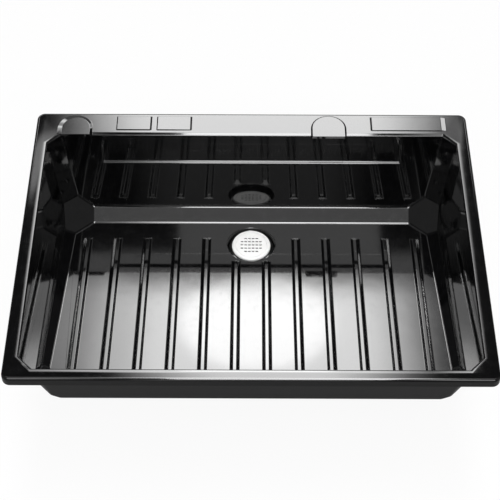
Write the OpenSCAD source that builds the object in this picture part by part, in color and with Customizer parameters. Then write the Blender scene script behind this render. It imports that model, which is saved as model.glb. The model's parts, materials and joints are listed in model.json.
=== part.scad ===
// Moulded darkroom sink with a ribbed falling floor and a plastic drain fitting.
// Millimetres, Z up. The origin is on the underside of the rear deck, where the rim rests on its stand.
// The front of the sink faces -Y.

/* [Rim] */
// Outside width of the rim
sink_w = 914; // [860:1:1100]
// Outside depth of the rim, front to back
sink_d = 686; // [650:1:800]
// Wall thickness of the moulding
shell_t = 5; // [4:0.5:6]
// Height of the down-turned lip, from the top of the rim to its lower edge
lip_h = 20; // [16:1:30]
// Radius of the rim's outer corners in plan
corner_r = 16; // [14:1:24]
// Radius of the rim's outer top edge
rim_round = 6; // [4:0.5:8]
// Width of each side rim
side_rim = 27; // [25:1:34]
// Depth of the rear deck
deck_d = 62; // [58:1:70]
// Depth of the front rim
front_rim = 25; // [23:1:32]
// Distance from the rear edge to the line on which the deck rests
seat_back = 30; // [20:1:40]

/* [Basin] */
// Leg of the cut corners of the opening
corner_cut = 27; // [24:1:36]
// Size of the eased edge round the opening
opening_ease = 4; // [2:0.5:5]
// Depth of the basin at the rear edge of its floor
basin_depth = 200; // [180:1:215]
// Fall of the floor towards the rear, in degrees
floor_fall = 7; // [5:0.5:8]
// Distance from the rear edge of the rim to the rear edge of the floor
floor_back = 138; // [134:1:150]
// Distance from the front edge of the rim to the front edge of the floor
floor_front = 78; // [72:1:90]
// Width of the floor at its rear edge
floor_w = 759; // [710:1:770]
// Angle by which each side of the floor widens towards the front, in degrees
floor_taper = 2; // [1:0.1:2.4]
// Draft of the side walls, in degrees
side_draft = 8.3; // [6:0.1:9]
// Draft of the rear wall, in degrees
rear_draft = 13.5; // [12:0.5:15]
// Draft of the front wall, in degrees
front_draft = 10; // [8:0.5:12]
// Draft of the four upright corner faces, in degrees
corner_draft = 16; // [14:0.5:18]
// Angle of the coves at the rear and front of the floor, in degrees
end_cove = 31; // [25:1:33]
// Angle of the coves at the sides of the floor, in degrees
side_cove = 32; // [30:1:38]
// How far each corner facet cuts along the ends of the floor
facet_cut = 34; // [30:1:42]
// Direction of the corner facets in plan, in degrees from the side
facet_turn = 40; // [36:1:46]
// Tilt of the corner facets from level, in degrees
facet_tilt = 42.5; // [38:0.5:45]

/* [Ribs] */
// Number of ribs in the floor
rib_count = 12; // [8:2:12]
// Distance between rib centres
rib_pitch = 64; // [56:1:66]
// Width of a rib at its foot
rib_foot = 16; // [13:0.5:20]
// Width of a rib at its crown
rib_crown = 9; // [6:0.5:11]
// Height of a rib
rib_h = 6; // [4:0.5:8]
// Distance from the rear edge of the floor to the rear ends of the ribs
rib_start = 50; // [46:1:70]
// The same for the two middle ribs, which stop in front of the drain
rib_start_middle = 119; // [116:1:140]

/* [Splash panel] */
// Width of the sunken panel in the rear wall
panel_w = 634; // [560:1:660]
// How far the panel is sunk
panel_sink = 5.5; // [4:0.5:6]
// Thickness of the wall behind the panel
panel_wall = 3.5; // [3:0.5:5]
// Distance from the top of the rim down to the panel's ledge
panel_ledge = 71; // [60:1:85]
// Distance from the top of the rim down to the panel's upper edge
panel_top = 25; // [20:1:32]

/* [Deck pads] */
// Height of the raised pads on the deck
pad_h = 3; // [1.5:0.5:4]
// Distance from the rear edge of the rim to the rear edge of the oblong pads
pad_back = 12; // [10:1:15]
// Depth of the oblong pads
pad_d = 39; // [34:1:42]
// Width of the two small oblong pads
pad_w = 74; // [60:1:80]
// Distance of the outer small pad's centre from the middle
pad_x = 249; // [240:1:260]
// Distance between the centres of the two small pads
pad_pitch = 85; // [84:1:92]
// Width of the long pad
long_pad_w = 160; // [130:1:168]
// Distance of the long pad's centre from the middle
long_pad_x = 332; // [326:1:334]
// Radius of the two arched pads
arch_r = 37; // [32:1:40]
// Distance from the rear edge of the rim to the centre of the arched pads' curve
arch_back = 45; // [42:1:48]
// How far the right arched pad stands out past the front edge of the deck
arch_nose = 8; // [4:1:10]
// How far the left arched pad stands out past the front edge of the deck
left_arch_nose = 4; // [3:1:10]
// Distance of the right arched pad's centre from the middle
arch_x = 163; // [150:1:175]
// Distance of the left arched pad's centre from the middle
left_arch_x = 374; // [366:1:378]

/* [Drain seat] */
// Distance from the rear edge of the rim to the drain's centre
drain_back = 202; // [198:1:215]
// Radius of the level seat round the drain
drain_seat_r = 46; // [44:1:48]
// Depth of the seat below the floor at the seat's rear edge
drain_sink = 6; // [4:0.5:8]
// Draft of the wall round the seat, in degrees from upright
drain_draft = 27; // [20:1:40]
// Thickness of the moulding under the seat
drain_boss_t = 6; // [5:0.5:9]
// Clearance between the hole in the floor and the drain's shank
hole_gap = 1; // [0.5:0.1:2]

/* [Drain fitting] */
// Radius of the drain's flange
flange_r = 41.5; // [40:0.5:43]
// Thickness of the flange at its rim
flange_t = 5; // [4.5:0.1:6]
// Size of the eased edge of the flange
flange_ease = 1.2; // [0.6:0.1:2]
// Radius of the threaded shank
shank_r = 30; // [28.5:0.1:31]
// Length of the threaded shank, from the flange down
shank_l = 29; // [28:0.5:36]
// Radius of the cup inside the shank
cup_r = 26; // [24:0.1:26.5]
// Depth of the cup, from the underside of the flange
cup_l = 22; // [18:0.5:24]
// Radius of the lower threaded spigot
spigot_r = 23; // [22.6:0.1:24]
// Length of the lower spigot
spigot_l = 22; // [18:0.5:28]
// Radius of the strainer plate
strainer_r = 33; // [31.5:0.1:35]
// Thickness of the strainer plate
strainer_t = 2.4; // [2:0.1:3]
// Clearance round the strainer plate
strainer_gap = 0.4; // [0.3:0.05:0.8]
// Depth of the strainer plate's skirt
skirt_l = 6; // [4:0.5:10]
// Thickness of the strainer plate's skirt
skirt_t = 1.6; // [1.2:0.1:2.5]
// Clearance between the skirt and the cup
skirt_gap = 0.6; // [0.4:0.1:1]
// Length of a slot in the strainer
slot_l = 5.6; // [4:0.1:6.4]
// Width of a slot in the strainer
slot_w = 2.6; // [1.6:0.1:3.4]
// Distance between slots along a row
slot_pitch = 8; // [7.5:0.1:8.4]
// Distance between rows of slots
row_pitch = 9; // [7:0.1:9.4]

/* [Seals and nuts] */
// Thickness of the gasket under the flange
gasket_t = 1.5; // [1:0.1:2]
// Radius of the gasket and the seals under the floor
seal_r = 40; // [38:0.5:41]
// Thickness of the lower rubber washer
washer_t = 3; // [2:0.1:4]
// Thickness of the friction ring
friction_t = 1.2; // [0.8:0.1:1.6]
// Clearance between the shank and the rings round it
ring_gap = 0.3; // [0.2:0.05:0.5]
// Height of the locknut
lock_nut_h = 11; // [9:0.5:13]
// Radius of the locknut's body
lock_nut_r = 37; // [35.5:0.5:38]
// Number of lugs on the locknut
lock_nut_lugs = 8; // [4:1:10]
// How far the lugs stand out
lug_out = 5; // [3:0.5:7]
// Width of a lug
lug_w = 8; // [6:0.5:10]
// Clearance between a nut and its thread
thread_gap = 0.1; // [0.05:0.05:0.2]
// Radius of the coupling nut's body
coupling_nut_r = 28; // [27.5:0.5:30]
// Number of grips on the coupling nut
coupling_grips = 12; // [8:1:16]
// How far the grips stand out
grip_out = 2; // [1:0.5:3]
// Width of a grip
grip_w = 4; // [3:0.5:5]
// How far the coupling nut reaches up the spigot
nut_reach = 14; // [12:0.5:16]
// Thickness of the coupling nut's floor
nut_floor = 3.5; // [3:0.5:5]

/* [Tailpiece] */
// Outside radius of the tailpiece
tail_r = 19.05; // [18.6:0.05:19.4]
// Wall thickness of the tailpiece
tail_wall = 1.8; // [1.4:0.1:2.4]
// Length of the tailpiece
tail_l = 102; // [80:1:150]
// Thickness of the tailpiece's flange
tail_flange_t = 2.5; // [2:0.1:4]
// Thickness of the tailpiece's washer
tail_washer_t = 2; // [1.5:0.1:3]
// How far the tailpiece is narrowed where the nut sits round it
tail_neck = 0.3; // [0.1:0.05:0.5]
// Length of the narrowed neck below the nut
neck_reach = 1; // [0.5:0.5:3]
// Clearance between the nut's floor and the tailpiece
tail_gap = 0.35; // [0.2:0.05:0.6]
// How far the tailpiece's flange and washer stay inside the nut
tail_inset = 0.5; // [0.3:0.1:0.8]

/* [Hidden] */
$fn = 96;

// Length that reaches past the whole sink, for cutting shapes
far = 2 * (sink_w + sink_d);
// Small overrun of a cut past the face it opens
over = 1;

// Rim and opening
top_z = shell_t;
rear_y = seat_back;
front_y = rear_y - sink_d;
mid_y = (rear_y + front_y) / 2;
open_x = sink_w / 2 - side_rim;
open_rear = rear_y - deck_d;
open_front = front_y + front_rim;

// Floor
fall = tan(floor_fall);
floor_y = rear_y - floor_back;
floor_z = top_z - basin_depth;
floor_end_y = front_y + floor_front;
floor_end_z = floor_z + fall * (floor_y - floor_end_y);
floor_half = floor_w / 2;
floor_end_half = floor_half + tan(floor_taper) * (floor_y - floor_end_y);
// Number of ribs that stop in front of the drain
middle_ribs = 2;

// Drain
drain_y = rear_y - drain_back;
seat_z = floor_z + fall * (floor_y - drain_y - drain_seat_r) - drain_sink;
boss_z = seat_z - drain_boss_t;
drain_rise = drain_sink + rib_h + 3 * drain_seat_r * fall;
hole_r = shank_r + hole_gap;
flange_z = seat_z + gasket_t;
flange_top = flange_z + flange_t;
shank_z = flange_z - shank_l;
spigot_z = shank_z - spigot_l;
strainer_z = flange_top - strainer_t;
skirt_r = cup_r - skirt_gap;
tail_bore = tail_r - tail_wall;
washer_z = boss_z - washer_t;
friction_z = washer_z - friction_t;
lock_nut_z = friction_z - lock_nut_h;
tail_washer_z = spigot_z - tail_washer_t;
tail_top_z = tail_washer_z;
tail_flange_z = tail_top_z - tail_flange_t;
tail_flange_r = spigot_r - tail_inset;
coupling_z = tail_flange_z - nut_floor;
coupling_top = spigot_z + nut_reach;

// Directions used by the faces of the basin
function side_dir(side, a) = [side * cos(a), 0, -sin(a)];
function corner_dir(side, way) =
    [side * cos(45) * cos(corner_draft), way * sin(45) * cos(corner_draft), -sin(corner_draft)];
function facet_dir(side, way) =
    [side * sin(facet_tilt) * cos(facet_turn), way * sin(facet_tilt) * sin(facet_turn), -cos(facet_tilt)];
function along_floor(side) = [-side * tan(floor_taper), 1, -fall];
function up_cove(side) = [side / tan(side_cove), 0, 1];
function cove_dir(side) = side * cross(along_floor(side), up_cove(side)) / norm(cross(along_floor(side), up_cove(side)));

// Faces of the basin, each as a point and the direction that leads out of the basin
side_faces = [for (s = [-1, 1]) each [
    [[s * open_x, 0, top_z], side_dir(s, side_draft)],
    [[s * (open_x - corner_cut), open_rear, top_z], corner_dir(s, 1)],
    [[s * (open_x - corner_cut), open_front, top_z], corner_dir(s, -1)]]];
end_faces = [
    [[0, open_rear, top_z], [0, cos(rear_draft), -sin(rear_draft)]],
    [[0, open_front, top_z], [0, -cos(front_draft), -sin(front_draft)]]];
floor_faces = [
    [[0, floor_y, floor_z], [0, -sin(floor_fall), -cos(floor_fall)]],
    [[0, floor_y, floor_z], [0, sin(end_cove), -cos(end_cove)]],
    [[0, floor_end_y, floor_end_z], [0, -sin(end_cove), -cos(end_cove)]]];
cove_faces = [for (s = [-1, 1]) each [
    [[s * floor_half, floor_y, floor_z], cove_dir(s)],
    [[s * (floor_half - facet_cut), floor_y, floor_z], facet_dir(s, 1)],
    [[s * (floor_end_half - facet_cut), floor_end_y, floor_end_z], facet_dir(s, -1)]]];
basin_faces = concat(side_faces, end_faces, floor_faces, cove_faces);

// Faces of the eased edge of the opening, at 45 degrees all round
ease_faces = [for (s = [-1, 1]) each [
    [[s * (open_x + opening_ease), 0, top_z], [s, 0, -1]],
    [[0, s > 0 ? open_rear + opening_ease : open_front - opening_ease, top_z], [0, s, -1]],
    [[s * (open_x - corner_cut + opening_ease * sqrt(2)), open_rear, top_z], [s * sqrt(0.5), sqrt(0.5), -1]],
    [[s * (open_x - corner_cut + opening_ease * sqrt(2)), open_front, top_z], [s * sqrt(0.5), -sqrt(0.5), -1]]]];

// Faces of the sunken splash panel
panel_faces = [
    [[0, open_rear + panel_sink / cos(rear_draft), top_z], [0, cos(rear_draft), -sin(rear_draft)]],
    [[0, 0, top_z - panel_top], [0, 0, 1]],
    [[0, 0, top_z - panel_ledge], [0, 0, -1]],
    [[panel_w / 2, 0, 0], [1, 0, 0]],
    [[-panel_w / 2, 0, 0], [-1, 0, 0]],
    [[0, open_rear - deck_d, 0], [0, -1, 0]]];

// Everything behind a face
module behind(face, grow) {
    d = face[1] / norm(face[1]);
    translate(face[0] + grow * d)
        rotate([0, acos(d[2]), atan2(d[1], d[0])])
            translate([-far, -far, -2 * far]) cube([2 * far, 2 * far, 2 * far]);
}

// Space enclosed by a set of faces, each moved outwards
module enclosed(faces, grow = 0) {
    intersection_for (face = faces) behind(face, grow);
}

// Cross-section of the rim's edge and lip. X is measured outwards from the outer face.
module edge_profile() {
    difference() {
        translate([-corner_r, top_z - lip_h]) square([corner_r, lip_h]);
        translate([-corner_r - over, top_z - lip_h - over])
            square([corner_r - shell_t + over, lip_h - shell_t + over]);
        translate([-rim_round, top_z - rim_round]) difference() {
            square([rim_round + over, rim_round + over]);
            circle(r = rim_round);
        }
    }
}

// Rim with its down-turned lip, still without the opening
module rim() {
    for (turn = [0, 180]) {
        translate([cos(turn) * sink_w / 2, mid_y, 0]) rotate([90, 0, turn])
            linear_extrude(sink_d - 2 * corner_r, center = true) edge_profile();
        translate([0, mid_y + cos(turn) * sink_d / 2, 0]) rotate([90, 0, turn + 90])
            linear_extrude(sink_w - 2 * corner_r, center = true) edge_profile();
    }
    for (turn = [0 : 90 : 270])
        translate([sign(cos(turn + 45)) * (sink_w / 2 - corner_r),
                   mid_y + sign(sin(turn + 45)) * (sink_d / 2 - corner_r), 0])
            rotate([0, 0, turn]) rotate_extrude(angle = 90) translate([corner_r, 0]) edge_profile();
    translate([-sink_w / 2 + corner_r, front_y + corner_r, 0])
        cube([sink_w - 2 * corner_r, sink_d - 2 * corner_r, top_z]);
}

// Block from the lowest point of the moulding to the top of the rim
module height_block(z1) {
    translate([-sink_w / 2, front_y, floor_z - 2 * shell_t]) cube([sink_w, sink_d, z1 - floor_z + 2 * shell_t]);
}

// Outside of the basin
module basin_outside() {
    intersection() {
        enclosed(basin_faces, shell_t);
        height_block(top_z - over);
    }
}

// Inside of the basin
module basin_inside() {
    intersection() {
        enclosed(basin_faces);
        height_block(top_z + over);
    }
    intersection() {
        enclosed(ease_faces);
        translate([-sink_w / 2, front_y, top_z - opening_ease]) cube([sink_w, sink_d, opening_ease + over]);
    }
}

// Sunken panel, or the outside of the moulding behind it
module panel(grow) {
    intersection() {
        enclosed(panel_faces, grow);
        height_block(top_z - over);
    }
}

// Raised pads on the rear deck
module deck_pads() {
    foot = top_z - over;
    height = pad_h + over;
    for (i = [0, 1])
        translate([-pad_x + i * pad_pitch - pad_w / 2, rear_y - pad_back - pad_d, foot]) cube([pad_w, pad_d, height]);
    translate([long_pad_x - long_pad_w / 2, rear_y - pad_back - pad_d, foot]) cube([long_pad_w, pad_d, height]);
}

// Arched pad, round at the back, whose nose stands out past the edge of the deck
module arched_pad(x, nose) {
    nose_y = open_rear - nose;
    height = top_z + pad_h;
    intersection() {
        translate([x, rear_y - arch_back, 0]) cylinder(r = arch_r, h = height);
        translate([x - arch_r, nose_y, 0]) cube([2 * arch_r, rear_y - nose_y, height]);
    }
    translate([x - arch_r, nose_y, 0]) cube([2 * arch_r, rear_y - arch_back - nose_y, height]);
}

// Place of the ribs: on the floor, with Y leading to the rear edge of the floor
module on_floor() {
    translate([0, floor_y, floor_z]) rotate([-floor_fall, 0, 0]) children();
}

// Ribs with sloped rear ends, clipped inside the thickness of the moulding
module ribs() {
    length = (floor_y - front_y) / cos(floor_fall);
    root = shell_t / 2;
    intersection() {
        enclosed(basin_faces, root);
        on_floor() for (i = [0 : rib_count - 1]) {
            from_middle = i - (rib_count - 1) / 2;
            start = 2 * abs(from_middle) < middle_ribs ? rib_start_middle : rib_start;
            difference() {
                translate([from_middle * rib_pitch, -start, 0]) rotate([90, 0, 0])
                    linear_extrude(length) polygon([
                        [-rib_foot / 2, -root], [rib_foot / 2, -root], [rib_foot / 2, 0],
                        [rib_crown / 2, rib_h], [-rib_crown / 2, rib_h], [-rib_foot / 2, 0]]);
                translate([from_middle * rib_pitch - rib_foot, -start, 0])
                    rotate([45, 0, 0]) cube([2 * rib_foot, 2 * rib_h, 2 * rib_h]);
            }
        }
    }
}

// Level seat for the drain, as the material round it
module drain_boss() {
    foot_r = drain_seat_r + shell_t / cos(drain_draft) - drain_boss_t * tan(drain_draft);
    height = drain_boss_t + drain_rise;
    translate([0, drain_y, boss_z]) cylinder(r1 = foot_r, r2 = foot_r + height * tan(drain_draft), h = height);
}

// Level seat for the drain, as the hollow and the hole through it
module drain_hollow() {
    translate([0, drain_y, seat_z])
        cylinder(r1 = drain_seat_r, r2 = drain_seat_r + drain_rise * tan(drain_draft), h = drain_rise);
    translate([0, drain_y, boss_z - over]) cylinder(r = hole_r, h = drain_boss_t + 2 * over);
}

// The moulded sink
module sink_body() {
    color([0.03, 0.03, 0.035]) difference() {
        union() {
            difference() {
                union() {
                    rim();
                    basin_outside();
                    panel(panel_wall);
                    deck_pads();
                    drain_boss();
                }
                basin_inside();
                panel(0);
            }
            arched_pad(arch_x, arch_nose);
            arched_pad(-left_arch_x, left_arch_nose);
            ribs();
        }
        drain_hollow();
    }
}

// Ring with a plain bore, from z0 to z1
module ring(r_out, r_in, z0, z1) {
    translate([0, drain_y, z0]) difference() {
        cylinder(r = r_out, h = z1 - z0);
        translate([0, 0, -over]) cylinder(r = r_in, h = z1 - z0 + 2 * over);
    }
}

// Drain body: flange, threaded shank with its cup, and lower spigot
module drain_body() {
    recess_r = strainer_r + strainer_gap;
    cup_z = flange_z - cup_l;
    color([0.93, 0.93, 0.91]) translate([0, drain_y, 0]) rotate_extrude() polygon([
        [tail_bore, spigot_z], [spigot_r, spigot_z], [spigot_r, shank_z], [shank_r, shank_z],
        [shank_r, flange_z], [flange_r, flange_z], [flange_r, flange_top - flange_ease],
        [flange_r - flange_ease, flange_top], [recess_r, flange_top], [recess_r, strainer_z],
        [cup_r, strainer_z], [cup_r, cup_z], [tail_bore, cup_z - (cup_r - tail_bore) / 2]]);
}

// One row of slots through the strainer
module slot_row(count, y) {
    for (i = [0 : count - 1])
        translate([(i - (count - 1) / 2) * slot_pitch - slot_l / 2, y - slot_w / 2, -over])
            cube([slot_l, slot_w, strainer_t + 2 * over]);
}

// Lift-out strainer plate with five rows of short slots and a skirt
module strainer_plate() {
    color([0.95, 0.95, 0.93]) translate([0, drain_y, strainer_z]) {
        difference() {
            cylinder(r = strainer_r, h = strainer_t);
            for (row = [-2 : 2]) slot_row(abs(row) == 2 ? 4 : 6, row * row_pitch);
        }
        translate([0, 0, -skirt_l]) difference() {
            cylinder(r = skirt_r, h = skirt_l);
            translate([0, 0, -over]) cylinder(r = skirt_r - skirt_t, h = skirt_l + 2 * over);
        }
    }
}

// Rubber gasket between the flange and the seat
module flange_gasket() {
    color([0.08, 0.08, 0.08]) ring(seal_r, shank_r + ring_gap, seat_z, flange_z);
}

// Rubber washer under the floor
module lower_washer() {
    color([0.1, 0.1, 0.1]) ring(seal_r, shank_r + ring_gap, washer_z, boss_z);
}

// Slippery ring between the rubber washer and the locknut
module friction_ring() {
    color([0.75, 0.68, 0.52]) ring(seal_r, shank_r + ring_gap, friction_z, washer_z);
}

// Locknut with lugs round it
module lock_nut() {
    color([0.9, 0.9, 0.88]) difference() {
        union() {
            translate([0, drain_y, lock_nut_z]) cylinder(r = lock_nut_r, h = lock_nut_h);
            for (i = [1 : lock_nut_lugs])
                translate([0, drain_y, lock_nut_z]) rotate([0, 0, i * 360 / lock_nut_lugs])
                    translate([shank_r + lug_w / 2, -lug_w / 2, 0])
                        cube([lock_nut_r + lug_out - shank_r - lug_w / 2, lug_w, lock_nut_h]);
        }
        translate([0, drain_y, lock_nut_z - over]) cylinder(r = shank_r + thread_gap, h = lock_nut_h + 2 * over);
    }
}

// Coupling nut that holds the tailpiece against the spigot
module coupling_nut() {
    height = coupling_top - coupling_z;
    color([0.9, 0.9, 0.88]) difference() {
        translate([0, drain_y, coupling_z]) {
            cylinder(r = coupling_nut_r, h = height);
            for (i = [1 : coupling_grips])
                rotate([0, 0, i * 360 / coupling_grips])
                    translate([spigot_r + grip_w / 2, -grip_w / 2, 0])
                        cube([coupling_nut_r + grip_out - spigot_r - grip_w / 2, grip_w, height]);
        }
        translate([0, drain_y, coupling_z + nut_floor]) cylinder(r = spigot_r + thread_gap, h = height);
        translate([0, drain_y, coupling_z - over]) cylinder(r = tail_r + tail_gap, h = nut_floor + 2 * over);
    }
}

// Flat washer on top of the tailpiece
module tailpiece_washer() {
    color([0.85, 0.85, 0.8]) ring(tail_flange_r, tail_bore, tail_washer_z, spigot_z);
}

// Flanged tailpiece that leads down to the trap, with a narrower neck inside the coupling nut
module tailpiece() {
    neck_z = coupling_z - neck_reach;
    color([0.92, 0.92, 0.9]) {
        ring(tail_flange_r, tail_bore, tail_flange_z, tail_top_z);
        ring(tail_r - tail_neck, tail_bore, neck_z, tail_top_z);
        ring(tail_r, tail_bore, tail_top_z - tail_l, neck_z);
    }
}

sink_body();
drain_body();
strainer_plate();
flange_gasket();
lower_washer();
friction_ring();
lock_nut();
coupling_nut();
tailpiece_washer();
tailpiece();
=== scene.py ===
import bpy
import json
from math import degrees, hypot, pi, radians
from mathutils import Matrix, Vector

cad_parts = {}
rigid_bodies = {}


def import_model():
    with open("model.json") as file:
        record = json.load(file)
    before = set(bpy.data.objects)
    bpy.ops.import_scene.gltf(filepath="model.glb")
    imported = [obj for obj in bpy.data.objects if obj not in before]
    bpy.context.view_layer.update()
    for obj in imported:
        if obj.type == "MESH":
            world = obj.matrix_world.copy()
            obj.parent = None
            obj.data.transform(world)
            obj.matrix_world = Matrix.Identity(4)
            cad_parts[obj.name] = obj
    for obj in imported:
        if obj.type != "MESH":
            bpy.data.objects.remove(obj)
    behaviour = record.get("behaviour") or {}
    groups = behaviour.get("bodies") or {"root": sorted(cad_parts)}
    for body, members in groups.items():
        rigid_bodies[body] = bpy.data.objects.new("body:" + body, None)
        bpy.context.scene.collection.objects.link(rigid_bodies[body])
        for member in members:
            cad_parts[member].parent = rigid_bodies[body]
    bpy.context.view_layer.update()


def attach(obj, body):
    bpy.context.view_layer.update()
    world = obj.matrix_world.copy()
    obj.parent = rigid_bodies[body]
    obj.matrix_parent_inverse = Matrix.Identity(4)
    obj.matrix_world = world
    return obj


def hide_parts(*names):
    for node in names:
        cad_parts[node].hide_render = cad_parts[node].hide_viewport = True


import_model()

scene = bpy.context.scene


# Sizes of the sink, in metres, as the construction has them

# Rim: its top, its fall towards the opening at the front, and the fold where its front slope starts
TOP_Z = 0.005
RIM_FALL = 0.0009
FRONT_FOLD_Y = -0.6395

# Floor: its rear edge, its rise per metre towards the front, and the height of its ribs
FLOOR_Y = -0.108
FLOOR_Z = -0.195
FLOOR_SLOPE = 0.1228
RIB_H = 0.006

# Drain fitting, from the seat in the floor down to the end of the tailpiece
DRAIN_Y = -0.172
SEAT_R = 0.046
SEAT_Z = -0.19879
BOSS_Z = -0.20479
FLANGE_R = 0.0415
FLANGE_Z = -0.19729
FLANGE_TOP = -0.19229
STRAINER_R = 0.033
STRAINER_Z = -0.19469
CUP_R = 0.026
SHANK_R = 0.030
SHANK_Z = -0.22629
SPIGOT_R = 0.023
SPIGOT_Z = -0.24829
SEAL_R = 0.040
SEAL_BORE = SHANK_R + 0.0003
WASHER_Z = -0.20779
CARD_Z = -0.20899
TAIL_R = 0.01905
TAIL_BORE = 0.01725
TAIL_FLANGE_R = 0.0225
TAIL_WASHER_Z = -0.25029
TAIL_FLANGE_Z = -0.25279
COUPLING_Z = -0.25629
GRIP_EDGE_R = 0.0285
LOWEST_Z = -0.35229

# Studio: strength of its lights
STUDIO_LEVEL = 0.757


# Camera at the photograph's angle

def add_camera():
    data = bpy.data.cameras.new("camera")
    data.lens = 97.8
    data.sensor_width = 36
    data.clip_end = 50
    camera = bpy.data.objects.new("camera", data)
    scene.collection.objects.link(camera)
    place = Matrix.Translation((-0.0026, -2.0459, 2.0588))
    camera.matrix_world = place @ Matrix.Rotation(radians(39.56), 4, "X") @ Matrix.Rotation(0.0037, 4, "Z")
    scene.camera = camera


# Shader maths: a value, colour or direction that comes out of a node

class Wire:
    def __init__(self, tree, socket):
        self.tree = tree
        self.socket = socket

    def maths(self, operation, *others):
        return self.tree.node("ShaderNodeMath", "Value", {"operation": operation}, self, *others)

    def __add__(self, other):
        return self.maths("ADD", other)

    def __radd__(self, other):
        return self.maths("ADD", other)

    def __sub__(self, other):
        return self.maths("SUBTRACT", other)

    def __rsub__(self, other):
        return self.tree.node("ShaderNodeMath", "Value", {"operation": "SUBTRACT"}, other, self)

    def __mul__(self, other):
        return self.maths("MULTIPLY", other)

    def __rmul__(self, other):
        return self.maths("MULTIPLY", other)

    def __truediv__(self, other):
        return self.maths("DIVIDE", other)

    def __neg__(self):
        return self.maths("MULTIPLY", -1)

    def __pow__(self, other):
        return self.maths("POWER", other)

    def __abs__(self):
        return self.maths("ABSOLUTE")

    def ramp(self, low, high, at_low=0.0, at_high=1.0):
        return self.tree.node("ShaderNodeMapRange", "Result", {"interpolation_type": "SMOOTHSTEP"},
                              self, low, high, at_low, at_high)

    def band(self, low, high, soft):
        return self.ramp(low - soft, low + soft) * self.ramp(high - soft, high + soft, 1.0, 0.0)


class Tree:
    def __init__(self, nodes, links):
        self.nodes = nodes
        self.links = links

    def node(self, kind, out, settings=None, *values, **named):
        made = self.nodes.new(kind)
        for name, value in (settings or {}).items():
            setattr(made, name, value)
        inputs = [(i, v) for i, v in enumerate(values)] + list(named.items())
        for key, value in inputs:
            socket = made.inputs[key if isinstance(key, int) else key.replace("_", " ")]
            if isinstance(value, Wire):
                self.links.new(value.socket, socket)
            elif value is not None:
                socket.default_value = value
        return Wire(self, made.outputs[out]) if out is not None else made

    def object_place(self):
        return self.node("ShaderNodeTexCoord", "Object")

    def parts(self, vector):
        made = self.nodes.new("ShaderNodeSeparateXYZ")
        self.links.new(vector.socket, made.inputs[0])
        return [Wire(self, made.outputs[i]) for i in range(3)]

    def noise(self, place, scale, detail=2.0, rough=0.5):
        return self.node("ShaderNodeTexNoise", "Fac", {}, Vector=place, Scale=scale, Detail=detail,
                         Roughness=rough)

    def stretched(self, place, scale):
        return self.node("ShaderNodeMapping", "Vector", {}, Vector=place, Scale=scale)

    def mix(self, share, first, second):
        made = self.nodes.new("ShaderNodeMix")
        made.data_type = "RGBA"
        for key, value in ((0, share), (6, first), (7, second)):
            if isinstance(value, Wire):
                self.links.new(value.socket, made.inputs[key])
            else:
                made.inputs[key].default_value = value
        return Wire(self, made.outputs[2])

    def bump(self, height, distance, strength=1.0, over=None):
        return self.node("ShaderNodeBump", "Normal", {}, Height=height, Distance=distance, Strength=strength,
                         Normal=over)


def material_tree(name):
    material = bpy.data.materials.get(name) or bpy.data.materials.new(name)
    material.use_nodes = True
    material.node_tree.nodes.clear()
    return material, Tree(material.node_tree.nodes, material.node_tree.links)


def finish(tree, **inputs):
    shader = tree.node("ShaderNodeBsdfPrincipled", "BSDF", {}, **inputs)
    tree.node("ShaderNodeOutputMaterial", None, {}, Surface=shader)


# Finishes, each in the material of the construction's own slot

def sink_plastic():
    material, tree = material_tree("sink_black")
    place = tree.object_place()
    shimmer = tree.noise(place, 9.0, 2.0)
    cloud = tree.noise(place, 3.5, 1.0)
    grain = tree.noise(place, 900.0, 2.0)
    dust = tree.noise(place, 60.0, 6.0, 0.6)
    sag = tree.bump(shimmer + 0.35 * cloud, 0.0006, 0.35)
    skin = tree.bump(grain, 0.00001, 0.3, sag)
    tint = tree.mix(dust.ramp(0.35, 0.75), (0.0014, 0.0014, 0.0016, 1), (0.0030, 0.0030, 0.0033, 1))
    finish(tree, Base_Color=tint, Roughness=0.055 + 0.05 * dust.ramp(0.45, 0.8), IOR=1.5, Coat_Weight=1.0,
           Coat_Roughness=0.04, Coat_IOR=1.5, Normal=skin)
    return material


def white_plastic(name, tint, shade, rough, painted_shade_band=None):
    material, tree = material_tree(name)
    place = tree.object_place()
    cloud = tree.noise(place, 40.0, 3.0)
    grain = tree.noise(place, 1500.0, 2.0)
    colour = tree.mix(cloud.ramp(0.3, 0.7), tint, shade)
    if painted_shade_band:
        x, y, z = tree.parts(place)
        out = (x * x + (y - DRAIN_Y) * (y - DRAIN_Y)) ** 0.5
        low, high = painted_shade_band
        # Painted shade: between the two given heights and within the cup's radius, that is inside the drain's
        # cup and on the walls of the strainer's slots, the colour is painted dark grey to stand in for the
        # shade in these hollows.
        inside = out.ramp(CUP_R - 0.0006, CUP_R + 0.0004, 1.0, 0.0) * z.band(low, high, 0.0003)
        colour = tree.mix(inside, colour, (0.055, 0.055, 0.058, 1))
    finish(tree, Base_Color=colour, Roughness=rough + 0.06 * cloud, IOR=1.47,
           Normal=tree.bump(grain, 0.00002, 0.25))
    return material


def seal_rubber():
    material, tree = material_tree("seal_rubber")
    place = tree.object_place()
    bloom = tree.noise(place, 90.0, 4.0, 0.6)
    grain = tree.noise(place, 1800.0, 2.0)
    colour = tree.mix(bloom.ramp(0.4, 0.8), (0.012, 0.012, 0.012, 1), (0.035, 0.034, 0.033, 1))
    finish(tree, Base_Color=colour, Roughness=0.62 + 0.2 * bloom, IOR=1.5,
           Normal=tree.bump(grain, 0.00006, 0.5))
    return material


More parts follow.
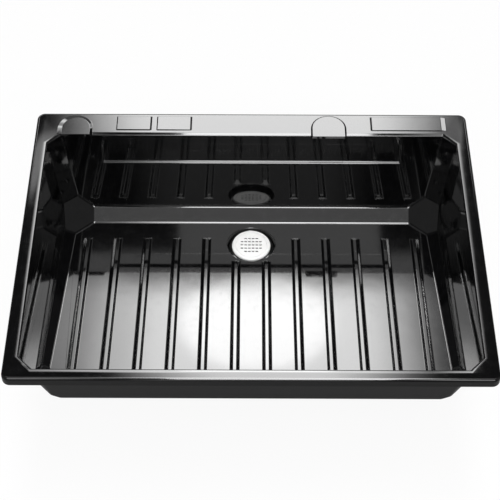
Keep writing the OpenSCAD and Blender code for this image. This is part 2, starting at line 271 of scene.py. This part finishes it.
def hard_card():
    material, tree = material_tree("hard_card")
    place = tree.object_place()
    fibre = tree.noise(tree.stretched(place, (1.0, 3.0, 6.0)), 260.0, 5.0, 0.65)
    fleck = tree.noise(place, 900.0, 2.0)
    colour = tree.mix(fibre.ramp(0.3, 0.75), (0.50, 0.38, 0.22, 1), (0.66, 0.54, 0.36, 1))
    colour = tree.mix(fleck.ramp(0.66, 0.74) * 0.5, colour, (0.30, 0.21, 0.12, 1))
    finish(tree, Base_Color=colour, Roughness=0.8 + 0.1 * fibre, Normal=tree.bump(fibre, 0.00012, 0.6))
    return material


# Plain studio: a pale floor, a soft window of light beyond the rear deck and soft light overhead.
# Polished plastic mirrors the floor as a dim one.

def white_ground(name, share):
    material, tree = material_tree(name)
    rays = tree.nodes.new("ShaderNodeLightPath")
    seen = Wire(tree, rays.outputs["Is Camera Ray"])
    mirrored = Wire(tree, rays.outputs["Is Glossy Ray"])
    matt = tree.node("ShaderNodeBsdfDiffuse", "BSDF", {},
                     Color=tree.mix(mirrored, (0.86, 0.86, 0.86, 1), (0.14, 0.14, 0.14, 1)))
    white = tree.node("ShaderNodeEmission", "Emission", {}, Color=(1, 1, 1, 1), Strength=1.0)
    both = tree.node("ShaderNodeMixShader", "Shader", {}, seen * share, matt, white)
    tree.node("ShaderNodeOutputMaterial", None, {}, Surface=both)
    return material


def add_floor():
    bpy.ops.mesh.primitive_plane_add(size=16, location=(0, 0, LOWEST_Z - 0.0004))
    floor = bpy.context.active_object
    floor.name = "studio_floor"
    floor.data.materials.append(white_ground("studio_floor", 0.92))


def add_light():
    # across and along are slopes of a ray to the right and to the rear; side and up are its angles in degrees
    world = bpy.data.worlds.new("studio")
    scene.world = world
    world.use_nodes = True
    world.node_tree.nodes.clear()
    tree = Tree(world.node_tree.nodes, world.node_tree.links)
    x, y, z = tree.parts(tree.node("ShaderNodeTexCoord", "Generated"))
    up = z.maths("ARCSINE") * (180 / pi)
    side = abs(x.maths("ARCTAN2", y) * (180 / pi))
    across = x / z.maths("MAXIMUM", 0.02)
    along = y / z.maths("MAXIMUM", 0.02)
    near = (1.0 - along).maths("MAXIMUM", 0.0).maths("MINIMUM", 0.34)
    edge = abs(across - 0.012 - 0.05 * near) + 0.19 * near
    edge = edge + 0.018 * along.ramp(0.93, 0.99, 1.0, 0.0) * across.ramp(0.0, 0.1)
    window = edge.ramp(0.105, 0.224, 1.0, 0.0) * along.ramp(-0.12, 0.0) * along.ramp(1.250, 1.320, 1.0, 0.0)
    core = (((across - 0.008) / 0.088) ** 2 + ((along - 1.215) / 0.085) ** 2).ramp(0.75, 1.3, 1.0, 0.0)
    corner = (((across + 0.205) / 0.045) ** 2 + ((along - 0.935) / 0.045) ** 2).ramp(0.3, 1.3, 1.0, 0.0)
    low_band = side.band(16.0, 30.0, 2.0) * up.band(27.0, 36.0, 1.5)
    lamp = side.band(26.5, 32.5, 1.0) * up.band(34.5, 39.5, 1.0)
    glow = side.band(18.5, 24.5, 1.0) * up.band(14.0, 30.0, 2.0) * (-x).ramp(0.0, 0.05)
    over = up.ramp(58.0, 72.0)
    front = (180.0 - side).ramp(3.5, 6.5, 1.0, 0.0) * up.ramp(48.0, 58.0, 1.0, 0.0)
    fill = side.band(142.0, 170.0, 2.0) * up.band(27.0, 56.0, 2.0)
    behind = side.ramp(14.0, 24.0, 1.0, 0.0) * up.ramp(38.0, 44.0, 1.0, 0.0)
    sill = abs(across).ramp(0.18, 0.24, 1.0, 0.0) * along.band(1.315, 1.50, 0.015)
    pane = across.band(-0.235, -0.15, 0.02) * along.band(1.10, 1.30, 0.03)
    strip = across.band(-0.07, 0.13, 0.03) * along.band(-0.16, 0.10, 0.03)
    flank = side.band(80.0, 130.0, 15.0) * (1 - over)
    level = (0.05 + 0.9 * over + 0.8 * front + 2.6 * fill + 0.15 * flank + 9.2 * window + 4.6 * core
             + 2.0 * corner + 2.4 * low_band + 7.0 * lamp + 4.4 * glow + 0.4 * behind + 0.5 * sill
             + 2.3 * pane + 13.0 * strip)
    rays = tree.nodes.new("ShaderNodeLightPath")
    seen = Wire(tree, rays.outputs["Is Camera Ray"])
    strength = STUDIO_LEVEL * level * (1 - seen) + seen
    light = tree.node("ShaderNodeBackground", "Background", {}, Color=(1, 1, 1, 1), Strength=strength)
    tree.node("ShaderNodeOutputWorld", None, {}, Surface=light)


def add_softboxes():
    for name, middle, width, length, power in (("overhead_softbox_rear", (0.0, -1.187), 1.60, 0.10, 1.9),
                                               ("overhead_softbox_middle", (0.12, -1.42), 0.86, 0.36, 3.7),
                                               ("overhead_softbox_front", (0.12, -2.26), 0.86, 1.30, 37.1)):
        data = bpy.data.lights.new(name, "AREA")
        data.shape = "RECTANGLE"
        data.size = width
        data.size_y = length
        data.energy = power
        box = bpy.data.objects.new(name, data)
        box.location = (middle[0], middle[1], 2.32)
        box.visible_camera = False
        scene.collection.objects.link(box)


# Handling of pieces

def only(piece):
    for other in bpy.context.view_layer.objects:
        other.select_set(False)
    piece.select_set(True)
    bpy.context.view_layer.objects.active = piece


def start_from(node, name, cuts=((0, 0, 0),)):
    source = bpy.data.objects[node]
    piece = bpy.data.objects.new(name, source.data.copy())
    scene.collection.objects.link(piece)
    only(piece)
    bpy.ops.object.mode_set(mode="EDIT")
    bpy.ops.mesh.select_mode(type="VERT")
    bpy.ops.mesh.select_all(action="SELECT")
    bpy.ops.mesh.remove_doubles(threshold=1e-6)
    for place in cuts:
        bpy.ops.mesh.select_all(action="SELECT")
        bpy.ops.mesh.bisect(plane_co=place, plane_no=(1, 0, 0))
        bpy.ops.mesh.mark_seam()
    bpy.ops.mesh.select_all(action="SELECT")
    bpy.ops.mesh.dissolve_limited(angle_limit=radians(0.6), delimit={"SEAM"})
    bpy.ops.object.mode_set(mode="OBJECT")
    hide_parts(node)
    return piece


def edges_with_faces(mesh):
    sides = {}
    for face in mesh.polygons:
        for key in face.edge_keys:
            sides.setdefault(key, []).append(face)
    for edge in mesh.edges:
        yield edge, sides.get(edge.key, [])


def ease_edges(piece, softness, segments=3):
    mesh = piece.data
    widest = 0.010
    weights = [0.0] * len(mesh.edges)
    for edge, faces in edges_with_faces(mesh):
        fold = degrees(faces[0].normal.angle(faces[1].normal)) if len(faces) == 2 else 0.0
        if fold < 7:
            continue
        a, b = (mesh.vertices[i].co for i in edge.vertices)
        weights[edge.index] = min(1.0, softness((a + b) / 2, (b - a).length, faces, fold) / widest)
    mesh.attributes.new("bevel_weight_edge", "FLOAT", "EDGE").data.foreach_set("value", weights)
    only(piece)
    bpy.ops.object.shade_smooth()
    bevel = piece.modifiers.new("eased", "BEVEL")
    bevel.limit_method = "WEIGHT"
    bevel.width = widest
    bevel.segments = segments
    bevel.use_clamp_overlap = False
    bevel.miter_outer = "MITER_SHARP"
    bevel.loop_slide = True
    bevel.face_strength_mode = "FSTR_ALL"
    bpy.ops.object.modifier_apply(modifier=bevel.name)
    bpy.ops.object.shade_smooth_by_angle(angle=radians(38))
    flat = piece.modifiers.new("flats", "WEIGHTED_NORMAL")
    flat.keep_sharp = True
    flat.use_face_influence = True
    bpy.ops.object.modifier_apply(modifier=flat.name)


# Sink body, moulded in one piece

def above_floor(place):
    return place.z - (FLOOR_Z + (FLOOR_Y - place.y) * FLOOR_SLOPE)


def sink_softness(middle, length, faces, fold):
    x, y, z = middle
    on_deck = y > -0.045 and y < 0.0215 and abs(x) < 0.42 and z > TOP_Z - 0.0004
    on_front_slope = y < -0.6 and z > TOP_Z - 0.001 and abs(y - FRONT_FOLD_Y) < 0.0004
    if fold < 18 and not (on_deck or on_front_slope):
        return 0.0
    eye = Vector((0, -0.33, 0.35))
    seen = [face.normal.dot(eye - face.center) > 0 for face in faces]
    flat = [abs(face.normal.z) > 0.999 for face in faces]
    over_drain = hypot(x, y - DRAIN_Y)
    # outside of the moulding: the boss, the inside of the lip, the basin's outer corners
    if not any(seen):
        if z < FLOOR_Z - 0.004 and over_drain < 0.08:
            return 0.0008
        if z > -0.017:
            return 0.0008
        return 0.004
    # edges between outside and inside: the drain hole and the lower edge of the lip
    if not all(seen):
        if over_drain < 0.04:
            return 0.0006
        return 0.0009
    # raised pads on the deck
    steepest = min(abs(face.normal.z) for face in faces)
    if z > TOP_Z + 0.0004 or (z > TOP_Z - 0.0004 and any(flat) and steepest < 0.99):
        return 0.0007
    # folds of the rim and the edge of the opening
    if on_front_slope:
        return 0.0014
    if z > -0.0005:
        if z > TOP_Z - 0.0001:
            return 0.0036
        return 0.0006 if z < 0.003 else 0.0016 if y < -0.62 else 0.0009
    # upright corners of the basin
    if max(abs(face.normal.z) for face in faces) < 0.35:
        return 0.0018
    # panel of the rear wall, whose lower ledge is rounder than the rest
    if y > -0.075 and z > -0.08 and abs(x) < 0.33:
        return 0.0025 if z < -0.055 and length > 0.02 and abs(x) < 0.31 else 0.0012
    # seat round the drain
    if over_drain < 0.075 and z < FLOOR_Z + 0.012:
        return 0.0010 if over_drain < SEAT_R + 0.001 else 0.0008
    # foot of the rear cove, feet of the side coves, ribs, and all that is left of the basin
    if abs(y - FLOOR_Y) < 0.002 and z < FLOOR_Z + 0.003 and length > 0.1:
        return 0.0011
    height = above_floor(middle)
    if abs(height) < 0.002 and abs(x) > 0.37:
        return 0.0016
    if -0.001 < height < RIB_H + 0.001 and abs(x) < 0.37 and y < FLOOR_Y - 0.04:
        if abs(x) < 0.05 and y > -0.31 and length < 0.03:
            return 0.0010
        return 0.0022 if height < RIB_H / 2 else 0.0019
    return 0.0045


def pick_corners(piece, wanted):
    only(piece)
    bpy.ops.object.mode_set(mode="EDIT")
    bpy.ops.mesh.select_mode(type="VERT")
    bpy.ops.mesh.select_all(action="DESELECT")
    bpy.ops.object.mode_set(mode="OBJECT")
    for corner in piece.data.vertices:
        corner.select = wanted(corner.co)
    bpy.ops.object.mode_set(mode="EDIT")


def slope_pads(sink):
    # the pads' tops come down, then the tops' straight edges and round edges draw in over their feet
    pick_corners(sink, lambda c: c.z > TOP_Z + 0.001)
    bpy.ops.transform.translate(value=(0, 0, -0.0010))
    bpy.ops.object.mode_set(mode="OBJECT")
    raised = TOP_Z + 0.001
    for edge_x, shift in ((-0.212, -0.0030), (-0.127, -0.0030), (-0.286, 0.0008), (-0.201, 0.0014),
                          (0.252, 0.0030), (0.412, -0.0105)):
        pick_corners(sink, lambda c: c.z > raised and abs(c.x - edge_x) < 0.0004)
        bpy.ops.transform.translate(value=(shift, 0, 0))
        bpy.ops.object.mode_set(mode="OBJECT")
    for middle_x, reach, front_y, keep_x, share_x, share_y in (
            (-0.374, 0.0375, -0.036, -0.3615, 0.79, 0.86), (0.163, 0.0375, -0.040, 0.163, 0.932, 0.965)):
        pick_corners(sink, lambda c: c.z > raised and abs(c.x - middle_x) < reach)
        bpy.ops.transform.resize(value=(share_x, share_y, 1), center_override=(keep_x, front_y, TOP_Z))
        bpy.ops.object.mode_set(mode="OBJECT")


def cut_rim(sink, place, across, front_only=False):
    only(sink)
    bpy.ops.object.mode_set(mode="EDIT")
    bpy.ops.mesh.select_mode(type="FACE")
    bpy.ops.mesh.select_all(action="DESELECT")
    bpy.ops.object.mode_set(mode="OBJECT")
    for face in sink.data.polygons:
        on_top = face.normal.z > 0.999 and abs(face.center.z - TOP_Z) < 0.0002 and face.area > 0.00001
        face.select = on_top and (face.center.y < -0.6 or not front_only)
    bpy.ops.object.mode_set(mode="EDIT")
    bpy.ops.mesh.bisect(plane_co=place, plane_no=across)
    bpy.ops.object.mode_set(mode="OBJECT")


def slope_rim(sink):
    # where the cut corners of the opening begin and end, and where the side folds of the rim run
    corner_y, rear_y, corner_x, fold_x = -0.6057, -0.0573, 0.4047, 0.4385
    for place in (corner_y, rear_y):
        cut_rim(sink, (0, place, 0), (0, 1, 0))
    for place in (-fold_x, fold_x):
        cut_rim(sink, (place, 0, 0), (1, 0, 0))
    cut_rim(sink, (0, FRONT_FOLD_Y, 0), (0, 1, 0), True)
    for place in (-corner_x, corner_x):
        cut_rim(sink, (place, 0, 0), (1, 0, 0), True)
    for side, near_x, near_y, far_y in ((-1, corner_x, FRONT_FOLD_Y, corner_y),
                                        (1, corner_x, FRONT_FOLD_Y, corner_y),
                                        (-1, 0.411, -0.0343, rear_y), (1, corner_x, -0.028, rear_y)):
        ends = ((side * near_x, near_y), (side * fold_x, far_y))
        pick_corners(sink, lambda c: c.z > TOP_Z - 0.0002
                     and min(hypot(c.x - x, c.y - y) for x, y in ends) < 0.0003)
        bpy.ops.mesh.vert_connect()
        bpy.ops.object.mode_set(mode="OBJECT")
    for side, fall, rear in ((-1, 0.00046, (-0.411, -0.0343)), (1, 0.00026, (0.4047, -0.028))):
        pick_corners(sink, lambda c: c.z > TOP_Z - 0.0002 and abs(c.x - side * 0.434) < 0.0006)
        bpy.ops.transform.translate(value=(-side * 0.003, 0, -fall))
        bpy.ops.object.mode_set(mode="OBJECT")
        pick_corners(sink, lambda c: c.z > TOP_Z - 0.0002 and hypot(c.x - rear[0], c.y - rear[1]) < 0.0004)
        bpy.ops.transform.translate(value=(0, 0, -fall))
        bpy.ops.object.mode_set(mode="OBJECT")
    pick_corners(sink, lambda c: c.z > TOP_Z - 0.0002 and abs(c.y + 0.635) < 0.0006 and abs(c.x) < 0.42)
    bpy.ops.transform.translate(value=(0, 0.002, -RIM_FALL))
    bpy.ops.object.mode_set(mode="OBJECT")


def lean_ribs(sink):
    # the crown of each long rib leans towards the middle of the basin
    for side in (-1, 1):
        for i in range(1, 6):
            middle_x = side * (0.032 + 0.064 * i)
            lean = -side * min(0.0019, 0.0019 * abs(middle_x) / 0.2)
            pick_corners(sink, lambda c: abs(c.x - middle_x) < 0.0075 and c.y < FLOOR_Y - 0.03
                         and c.z < -0.06 and RIB_H * 0.8 < above_floor(c) < RIB_H * 1.3)
            bpy.ops.transform.translate(value=(lean, 0, 0))
            bpy.ops.object.mode_set(mode="OBJECT")


def make_sink():
    sink = start_from("sink_body", "moulded_sink", [(x, 0, 0) for x in (0, -0.249, -0.164, 0.332)])
    slope_pads(sink)
    slope_rim(sink)
    lean_ribs(sink)
    ease_edges(sink, sink_softness, 4)
    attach(sink, "sink")
    return sink


# Drain fitting

def spun(name, section, steps=96):
    bpy.ops.mesh.primitive_circle_add(vertices=len(section), radius=0.01, location=(0, 0, 0))
    piece = bpy.context.active_object
    piece.name = name
    for corner, (radius, height) in zip(piece.data.vertices, section):
        corner.co = (radius, DRAIN_Y, height)
    only(piece)
    bpy.ops.object.mode_set(mode="EDIT")
    bpy.ops.mesh.select_all(action="SELECT")
    bpy.ops.mesh.spin(steps=steps, angle=2 * pi, center=(0, DRAIN_Y, 0), axis=(0, 0, 1))
    bpy.ops.mesh.select_all(action="SELECT")
    bpy.ops.mesh.remove_doubles(threshold=1e-6)
    bpy.ops.mesh.normals_make_consistent(inside=False)
    bpy.ops.object.mode_set(mode="OBJECT")
    return piece


def even(width):
    return lambda middle, length, faces, fold: width if fold > 18 else 0.0


def outermost(width, radius):
    return lambda middle, length, faces, fold: (
        width if fold > 18 and hypot(middle.x, middle.y - DRAIN_Y) > radius else 0.0)


def thread(name, radius, depth, pitch, low, high):
    turns = int((high - low) / pitch) + 3
    bpy.ops.mesh.primitive_circle_add(vertices=4, radius=0.01, location=(0, 0, 0))
    piece = bpy.context.active_object
    piece.name = name
    root = radius - depth - 0.0003
    tooth = ((root, -0.46), (radius, -0.12), (radius, 0.12), (root, 0.46))
    for corner, (out, step) in zip(piece.data.vertices, tooth):
        corner.co = (out, 0, low + pitch * (step - 1))
    only(piece)
    winding = piece.modifiers.new("winding", "SCREW")
    winding.axis = "Z"
    winding.angle = 2 * pi
    winding.screw_offset = pitch
    winding.iterations = turns
    winding.steps = 64
    winding.render_steps = 64
    bpy.ops.object.modifier_apply(modifier=winding.name)
    bpy.ops.object.mode_set(mode="EDIT")
    for height, outward in ((low, -1), (high, 1)):
        bpy.ops.mesh.select_all(action="SELECT")
        bpy.ops.mesh.bisect(plane_co=(0, 0, height), plane_no=(0, 0, outward), clear_outer=True,
                            use_fill=True)
    bpy.ops.mesh.select_all(action="SELECT")
    bpy.ops.transform.translate(value=(0, DRAIN_Y, 0))
    bpy.ops.mesh.remove_doubles(threshold=1e-6)
    bpy.ops.mesh.normals_make_consistent(inside=False)
    bpy.ops.object.mode_set(mode="OBJECT")
    bpy.ops.object.shade_smooth_by_angle(angle=radians(30))
    return piece


def fitted(piece, node, slot, body="sink"):
    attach(piece, body)
    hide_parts(node)
    piece.data.materials.clear()
    piece.data.materials.append(bpy.data.materials[slot])


def make_drain_body():
    recess = STRAINER_R + 0.0004
    root = SHANK_R - 0.0012
    spigot_root = SPIGOT_R - 0.0010
    cup = FLANGE_Z - 0.022
    body = spun("drain_body_with_flange", [
        (TAIL_BORE, SPIGOT_Z), (spigot_root, SPIGOT_Z), (spigot_root, SHANK_Z), (root, SHANK_Z),
        (root, FLANGE_Z - 0.003), (SHANK_R, FLANGE_Z - 0.0022), (SHANK_R, FLANGE_Z), (FLANGE_R, FLANGE_Z),
        (FLANGE_R, FLANGE_TOP - 0.0026), (FLANGE_R - 0.0006, FLANGE_TOP - 0.0012),
        (FLANGE_R - 0.0020, FLANGE_TOP - 0.0003), (FLANGE_R - 0.0040, FLANGE_TOP),
        (recess, FLANGE_TOP), (recess, STRAINER_Z), (CUP_R, STRAINER_Z), (CUP_R, cup + 0.004),
        (CUP_R - 0.0012, cup + 0.001), (CUP_R - 0.004, cup - 0.0012),
        (TAIL_BORE, cup - (CUP_R - TAIL_BORE) / 2)])
    ease_edges(body, even(0.00035), 2)
    fitted(body, "drain_body", "drain_white")
    shank = thread("drain_shank_thread", SHANK_R, 0.0012, 0.003, SHANK_Z + 0.0008, FLANGE_Z - 0.0035)
    fitted(shank, "drain_body", "drain_white")
    spigot = thread("drain_spigot_thread", SPIGOT_R, 0.0010, 0.0025, SPIGOT_Z + 0.0008, SHANK_Z - 0.002)
    fitted(spigot, "drain_body", "drain_white")


def make_strainer():
    slot_middles = (-0.020, -0.012, -0.004, 0.004, 0.012, 0.020)
    plate = start_from("strainer_plate", "lift_out_strainer", [(x, 0, 0) for x in slot_middles])
    ease_edges(plate, even(0.00012), 2)
    fitted(plate, "strainer_plate", "strainer_white", "strainer")


def make_seals():
    for name, node, slot, low, high, inner, outer, soft in (
            ("flange_seal", "flange_gasket", "seal_rubber", SEAT_Z, FLANGE_Z, SEAL_BORE, SEAL_R, 0.0005),
            ("under_floor_washer", "lower_washer", "seal_rubber", WASHER_Z, BOSS_Z, SEAL_BORE, SEAL_R,
             0.0008),
            ("slip_ring", "friction_ring", "hard_card", CARD_Z, WASHER_Z, SEAL_BORE, SEAL_R, 0.0002),
            ("tailpiece_seal", "tailpiece_washer", "clear_washer", TAIL_WASHER_Z, SPIGOT_Z, TAIL_BORE,
             TAIL_FLANGE_R, 0.0004)):
        ring = spun(name, [(inner, low), (outer, low), (outer, high), (inner, high)])
        ease_edges(ring, even(soft), 3)
        fitted(ring, node, slot)


def make_nuts():
    for name, node, eased in (("lugged_locknut", "lock_nut", even(0.0009)),
                              ("coupling_nut_with_grips", "coupling_nut", outermost(0.0007, GRIP_EDGE_R))):
        nut = start_from(node, name, [(0, 0, 0)])
        ease_edges(nut, eased, 3)
        fitted(nut, node, "nut_plastic")


def make_tailpiece():
    neck = TAIL_R - 0.0003
    low = LOWEST_Z
    pipe = spun("tailpiece_pipe", [
        (TAIL_BORE, low), (TAIL_R - 0.0004, low), (TAIL_R, low + 0.0008), (TAIL_R, COUPLING_Z - 0.0012),
        (neck, COUPLING_Z - 0.0010), (neck, TAIL_FLANGE_Z), (TAIL_FLANGE_R, TAIL_FLANGE_Z),
        (TAIL_FLANGE_R, TAIL_WASHER_Z), (TAIL_BORE, TAIL_WASHER_Z)])
    ease_edges(pipe, even(0.0003), 2)
    fitted(pipe, "tailpiece", "pipe_plastic")


sink_plastic()
# In the next two calls, the last argument gives the heights between which shade is painted inside the cup and
# on the walls of the slots.
white_plastic("drain_white", (0.91, 0.91, 0.90, 1), (0.88, 0.88, 0.87, 1), 0.24,
              (SPIGOT_Z, STRAINER_Z - 0.0006))
white_plastic("strainer_white", (0.92, 0.92, 0.91, 1), (0.89, 0.89, 0.88, 1), 0.26,
              (STRAINER_Z + 0.0003, FLANGE_TOP - 0.0003))
white_plastic("nut_plastic", (0.74, 0.74, 0.72, 1), (0.68, 0.68, 0.66, 1), 0.34)
white_plastic("clear_washer", (0.70, 0.70, 0.66, 1), (0.64, 0.64, 0.60, 1), 0.3)
white_plastic("pipe_plastic", (0.80, 0.80, 0.79, 1), (0.75, 0.75, 0.74, 1), 0.3)
seal_rubber()
hard_card()
add_camera()
add_light()
add_softboxes()
add_floor()
make_sink()
make_drain_body()
make_strainer()
make_seals()
make_nuts()
make_tailpiece()

scene.view_settings.view_transform = "Standard"
